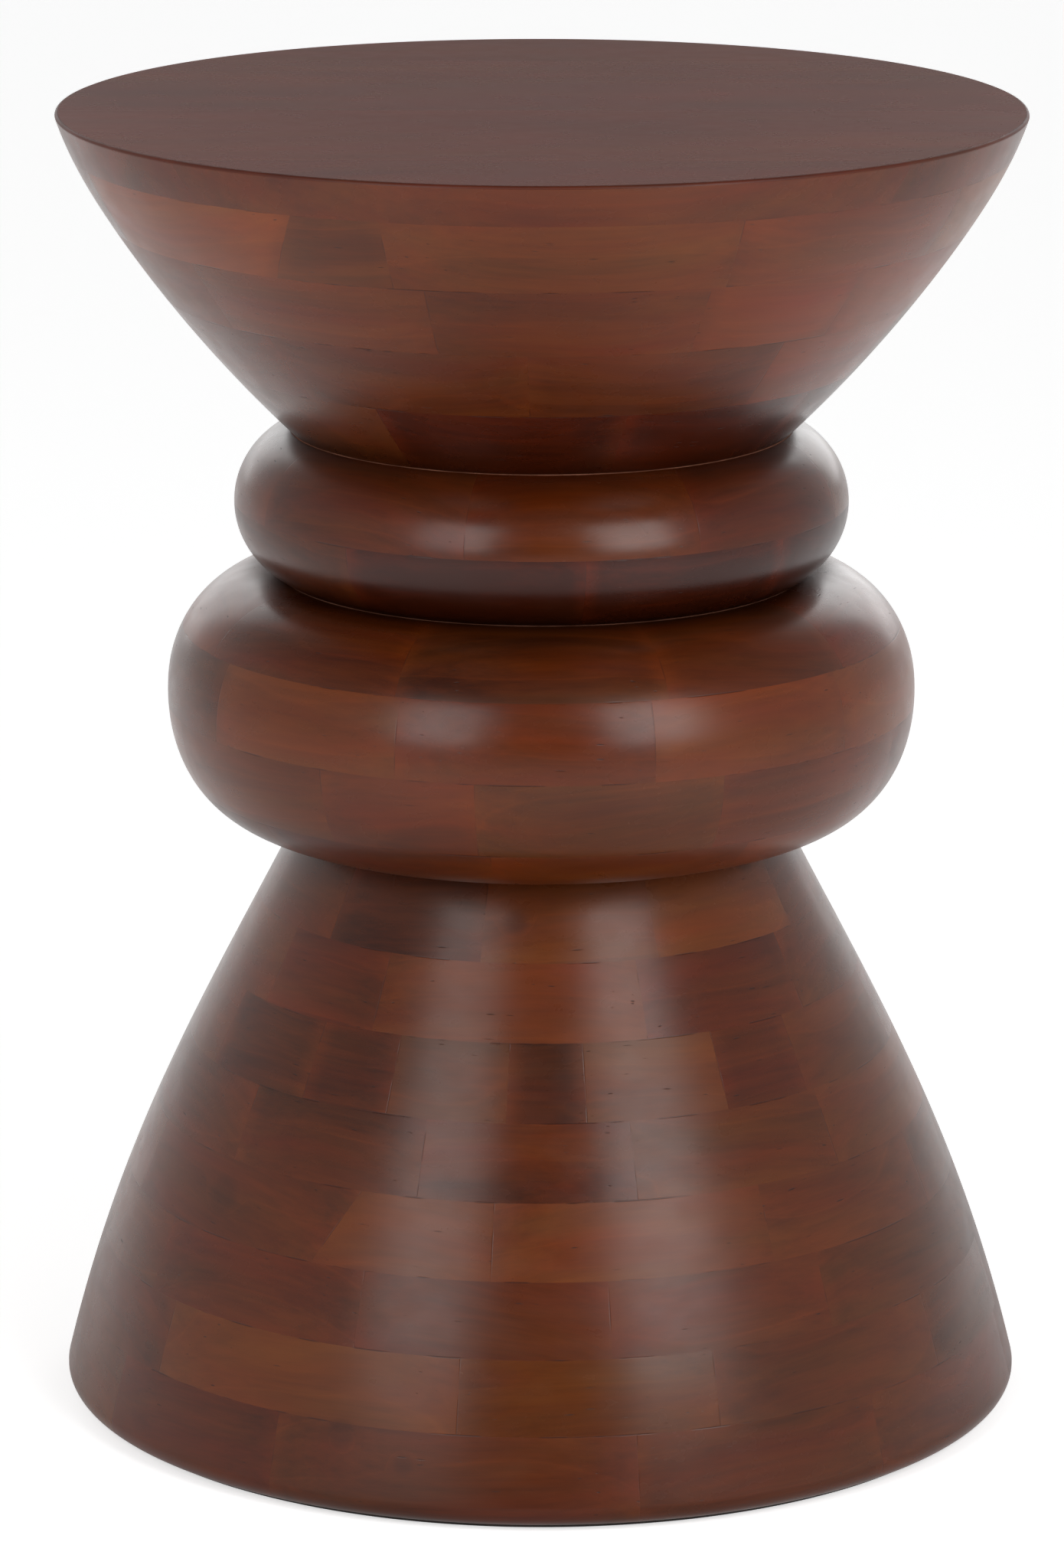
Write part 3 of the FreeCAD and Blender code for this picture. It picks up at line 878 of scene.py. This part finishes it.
def bare_wood(name):
    """Sawn wood without stain or lacquer."""
    g = Wood(name)
    light, pore = g.light(), g.pores()
    colour = g.mix(g.red(), g.mix(light, BARE_DARK, BARE_LIGHT),
                   g.mix(light, BARE_WARM_DARK, BARE_WARM_LIGHT))
    colour = g.mix(g.times(pore, 0.5), colour, BARE_PORE_COLOUR)
    roughness = g.span(g.streaks, 0.3, 0.7, 0.62, 0.82)
    saw = g.noise(g.grain, (900.0, 60.0, 60.0))
    height = g.plus(g.times(g.streaks, BARE_STREAK_HEIGHT), g.times(saw, SAW_HEIGHT))
    height = g.minus(height, g.times(pore, BARE_PORE_DEPTH))
    return g.surface(colour, roughness, height)


def felt(name):
    """Dark brown wool felt: matted fibres with a soft sheen."""
    g = Graph(bpy.data.materials.new(name))
    place = g.place()
    bend = g.noise(place, 300.0, output="Color")
    turned = g.vector("ADD", place, g.vector("MULTIPLY", bend, (0.004, 0.004, 0.002)))
    fibres = g.noise(turned, (2400.0, 500.0, 2400.0), 3.0, 0.65)
    crossing = g.noise(turned, (500.0, 2400.0, 2400.0), 3.0, 0.65)
    mat = g.math("MAXIMUM", fibres, crossing)
    clump = g.noise(place, 160.0)
    light = g.plus(g.times(mat, 0.7), g.times(clump, 0.3))
    colour = g.mix(g.span(light, 0.35, 0.75), rgb(0.010, 0.007, 0.006), rgb(0.050, 0.036, 0.030))
    roughness = g.span(mat, 0.3, 0.7, 0.85, 1.0)
    return g.surface(colour, roughness, light, distance=0.25 * MM, Sheen_Weight=0.35,
                     Sheen_Roughness=0.5)


def glue_bead_and_highlight(name):
    """Lacquer and glue gathered in a crease, paler and pinker than the wood; its paleness is partly a
    painted highlight, with its gloss kept low.
    """
    g = Graph(bpy.data.materials.new(name))
    place = g.place()
    patch = g.noise(place, 55.0, 3.0)
    fine = g.noise(place, 600.0)
    # the pale colour is glue and lacquer, and partly a painted highlight of the crease
    colour = g.mix(g.span(patch, 0.35, 0.65), rgb(0.075, 0.027, 0.015), rgb(0.150, 0.062, 0.038))
    colour = g.mix(g.times(g.span(fine, 0.5, 0.8), 0.4), colour, rgb(0.035, 0.013, 0.007))
    roughness = g.span(fine, 0.3, 0.7, 0.80, 0.95)
    return g.surface(colour, roughness, fine, distance=0.1 * MM, strength=0.5, IOR=1.20)


def lathe(name, section, material):
    """A closed ring turned from section(turn), a list of (radius, height)."""
    turns = np.linspace(0, 2 * math.pi, LATHE_STEPS, endpoint=False)
    rings = np.array([section(t) for t in turns])
    count = rings.shape[1]
    points = np.empty((LATHE_STEPS, count, 3))
    points[..., 0] = np.sin(turns)[:, None] * rings[..., 0]
    points[..., 1] = -np.cos(turns)[:, None] * rings[..., 0]
    points[..., 2] = rings[..., 1]
    i, j = np.meshgrid(np.arange(LATHE_STEPS), np.arange(count), indexing="ij")
    after, beside = (i + 1) % LATHE_STEPS, (j + 1) % count
    quads = np.column_stack([(row * count + column).ravel() for row, column in
                             ((i, j), (i, beside), (after, beside), (after, j))])
    mesh = bpy.data.meshes.new(name)
    mesh.from_pydata((points.reshape(-1, 3) * MM).tolist(), [], quads.tolist())
    mesh.polygons.foreach_set("use_smooth", np.ones(len(mesh.polygons), bool))
    mesh.materials.append(material)
    return linked(name, mesh)


# An uneven edge: waves round the ring, how fast they fade with their number, and their sum's size
WAVES_ROUND = (2, 3, 5, 9, 17, 31, 47)
WAVE_FADE = 0.35
WAVE_SUM = 2.6


def wave(turn, seed):
    """A smooth uneven value between about -1 and 1 that closes on itself."""
    rng = random.Random(seed)
    total = 0
    for n in WAVES_ROUND:
        total += math.sin(n * turn + rng.uniform(0, 6.28)) / n ** WAVE_FADE
    return total / WAVE_SUM


# Dried glue in the creases, and the felt's soft edges
BEAD_SIZE, BEAD_UNEVENNESS = 0.27, 0.12
BEAD_OUTWARD, BEAD_ASIDE = 0.10, 0.10
FELT_EDGE = 0.8
FELT_OUTSIDE_UNEVENNESS = 0.12
FELT_INSIDE_UNEVENNESS = 0.15
FELT_EDGE_POINTS = 7


def crease_bead(name, radius, level, material):
    """The thin uneven bead of glue and lacquer in a crease."""
    def section(turn):
        thick = BEAD_SIZE + BEAD_UNEVENNESS * wave(turn, name)
        middle = level + BEAD_ASIDE * wave(turn, name + "aside")
        return [(radius + BEAD_OUTWARD + thick * math.cos(t), middle + thick * math.sin(t))
                for t in np.radians(np.arange(0, 360, 45))]
    piece = lathe(name, section, material)
    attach(piece, "root")


def felt_ring(material):
    """The felt pad, with soft rounded edges and a slightly uneven outline."""
    _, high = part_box("foot_pad")
    outer = high[0] / MM
    inner = outer - FOOT_PAD_WIDTH
    half = high[2] / MM / 2

    def edge(middle, first, last):
        return [(middle + FELT_EDGE * math.cos(t), half + half * math.sin(t))
                for t in np.radians(np.linspace(first, last, FELT_EDGE_POINTS))]

    def section(turn):
        cut_out = FELT_OUTSIDE_UNEVENNESS + FELT_OUTSIDE_UNEVENNESS * wave(turn, "felt outside")
        cut_in = FELT_INSIDE_UNEVENNESS + FELT_INSIDE_UNEVENNESS * wave(turn, "felt inside")
        return edge(outer - cut_out - FELT_EDGE, -90, 90) + edge(inner + cut_in + FELT_EDGE, 90, 270)
    piece = lathe("felt_ring", section, material)
    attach(piece, "root")
    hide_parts("foot_pad")


# The camera, in metres and radians. Its focal length counts in pixels of a picture of this height.
FOCAL_PIXELS = 9204.2
PICTURE_HEIGHT = 2048
SENSOR_HEIGHT = 36
CAMERA_PLACE = (0, -2.6690, 0.9146)
CAMERA_PITCH, CAMERA_YAW, CAMERA_ROLL = 0.24689, 0.00133, 0.0010

# Lamps: angle, elevation, width, height in metres and how bright the face is
SOFTBOXES = {
    "softbox_left": (-31.0, 22.4, 0.65, 0.92, 4.05),
    "softbox_right": (34.5, 23.4, 0.68, 0.92, 5.55),
}
LAMP_DISTANCE = 1.55
LAMP_AIM = (0, 0, 0.25)

# Brightness of the floor as seen and as mirrored, and of the room round the table
FLOOR_COLOUR = rgb(0.92, 0.92, 0.92)
FLOOR_GLOW = 0.56
MIRRORED_FLOOR = 0.61
FLOOR_SIZE = 60
FLOOR_LEVEL = -0.00005
WALL_LEVEL = 0.84
HIGH_LEVEL = 0.20
BACK_LEVEL = 0.22
FRONT_LEVEL = 0.20
LOW_FRONT_LEVEL = FRONT_LEVEL * 0.20
LEFT_PANEL_LEVEL = 2.2
RIGHT_PANEL_LEVEL = 2.7


def camera():
    data = bpy.data.cameras.new("camera")
    data.sensor_fit = "VERTICAL"
    data.sensor_height = SENSOR_HEIGHT
    data.lens = FOCAL_PIXELS / PICTURE_HEIGHT * SENSOR_HEIGHT
    data.clip_end = 60
    obj = linked("camera", data)
    obj.location = CAMERA_PLACE
    obj.rotation_mode = "XYZ"
    look = (Matrix.Rotation(CAMERA_YAW, 4, "Z") @ Matrix.Rotation(math.pi / 2 - CAMERA_PITCH, 4, "X")
            @ Matrix.Rotation(CAMERA_ROLL, 4, "Z"))
    obj.rotation_euler = look.to_euler()
    bpy.context.scene.camera = obj


def softbox(name, azimuth, elevation, width, height, radiance):
    """A rectangular lamp that faces the table; radiance is how bright its face is."""
    data = bpy.data.lights.new(name, "AREA")
    data.shape = "RECTANGLE"
    data.size = width
    data.size_y = height
    data.energy = radiance * math.pi * width * height
    obj = linked(name, data)
    a, e = math.radians(azimuth), math.radians(elevation)
    towards = Vector((math.cos(e) * math.sin(a), -math.cos(e) * math.cos(a), math.sin(e)))
    obj.location = Vector(LAMP_AIM) + LAMP_DISTANCE * towards
    obj.rotation_euler = towards.to_track_quat("Z", "Y").to_euler()


def floor():
    """White paper that keeps the table's shadow.

    The wood mirrors it with a painted shadow close to the table, and painted dimmer towards the camera."""
    bpy.ops.mesh.primitive_plane_add(size=FLOOR_SIZE, location=(0, 0, FLOOR_LEVEL))
    obj = bpy.context.object
    obj.name = "floor"
    g = Graph(bpy.data.materials.new("floor_paper"))
    path = g.add("ShaderNodeLightPath").outputs
    place = g.place()
    mirrored = g.math("MAXIMUM", path["Is Glossy Ray"], path["Is Transmission Ray"])
    away = g.vector("LENGTH", place)
    # painted shadow in the mirrored floor close to the table
    mirrored = g.times(mirrored, g.span(away, 0.16, 0.60, 0.25, MIRRORED_FLOOR / FLOOR_GLOW))
    _, along, _ = g.parts(g.vector("NORMALIZE", place))
    # the mirrored floor painted dimmer towards the camera
    mirrored = g.times(mirrored, g.span(along, -0.985, -0.85, 0.60, 1.0))
    seen = g.math("MAXIMUM", path["Is Camera Ray"], mirrored)
    diffuse = g.add("ShaderNodeBsdfDiffuse", {"Color": FLOOR_COLOUR})
    glow = g.add("ShaderNodeEmission", {"Color": rgb(1, 1, 1), "Strength": g.times(seen, FLOOR_GLOW)})
    paper = g.add("ShaderNodeAddShader", {0: diffuse.outputs[0], 1: glow.outputs[0]})
    obj.data.materials.append(g.finish(paper))


def studio():
    """A plain room: pale walls, two bright panels behind with a gap between, dark behind the camera."""
    world = bpy.data.worlds.new("studio")
    bpy.context.scene.world = world
    g = Graph(world)
    side, deep, up = g.parts(g.add("ShaderNodeTexCoord").outputs["Generated"])
    level_part = g.math("SQRT", g.minus(1.0001, g.math("POWER", up, 2.0)))
    back = g.math("DIVIDE", deep, level_part)
    walls = g.span(up, 0.22, 0.85, WALL_LEVEL, HIGH_LEVEL)
    panel = g.times(g.span(back, 0.83, 0.88), g.span(back, 0.990, 0.996, 1.0, 0.0))
    panel = g.times(panel, g.span(up, 0.42, 0.58, 1.0, 0.0))
    bright = g.span(side, -0.1, 0.1, LEFT_PANEL_LEVEL, RIGHT_PANEL_LEVEL)
    gap = g.span(back, 0.990, 0.996)
    ahead = g.span(back, -0.985, -0.90, 1.0, 0.0)
    front = g.span(up, -0.10, 0.34, LOW_FRONT_LEVEL, FRONT_LEVEL)

    level = walls
    for share, target in ((panel, bright), (gap, BACK_LEVEL), (ahead, front)):
        level = g.plus(level, g.times(share, g.minus(target, level)))
    background = g.add("ShaderNodeBackground", {"Color": rgb(1, 1, 1), "Strength": level})
    g.finish(background, "ShaderNodeOutputWorld")


finished = finished_wood("finished_wood")
raw = bare_wood("raw_wood")
both = (finished, raw)

base_marks = levels(FOOT_PAD_THICKNESS, BASE_HEIGHT, BASE_BOARDS)
lower_marks = levels(LOWER_RING_BOTTOM, LOWER_RING_HEIGHT, LOWER_BOARDS)
upper_marks = levels(UPPER_RING_BOTTOM, UPPER_RING_HEIGHT, UPPER_BOARDS)
bowl_marks = levels(BOWL_BOTTOM, BOWL_HEIGHT, BOWL_BOARDS)

courses("base", base_outline(), base_marks, BASE_JOINTS, BASE_BEHIND, both, BASE_CREASE_SHADE)
courses("lower_ring", lower_outline(), lower_marks, LOWER_JOINTS, LOWER_BEHIND, both, LOWER_CREASE_SHADE)
courses("upper_ring", upper_outline(), upper_marks, UPPER_JOINTS, UPPER_BEHIND, both, UPPER_CREASE_SHADE)
courses("bowl", bowl_outline(), bowl_marks, BOWL_JOINTS, BOWL_BEHIND, both, BOWL_CREASE_SHADE)
top_board(bowl_outline(), bowl_marks[-2], both)

bead = glue_bead_and_highlight("crease_glue_and_highlight")
crease_bead("crease_line_lower", BASE_CREASE_RADIUS, LOWER_RING_BOTTOM, bead)
crease_bead("crease_line_middle", MIDDLE_CREASE_RADIUS, UPPER_RING_BOTTOM, bead)
crease_bead("crease_line_upper", BOWL_CREASE_RADIUS, BOWL_BOTTOM, bead)
felt_ring(felt("wool_felt"))

# the dowels are hidden in the joints and keep their CAD shapes
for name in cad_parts:
    if "dowels" in name:
        for slot in bpy.data.objects[name].material_slots:
            slot.material = raw

camera()
floor()
studio()
for name, values in SOFTBOXES.items():
    softbox(name, *values)

bpy.context.scene.view_settings.view_transform = "Standard"
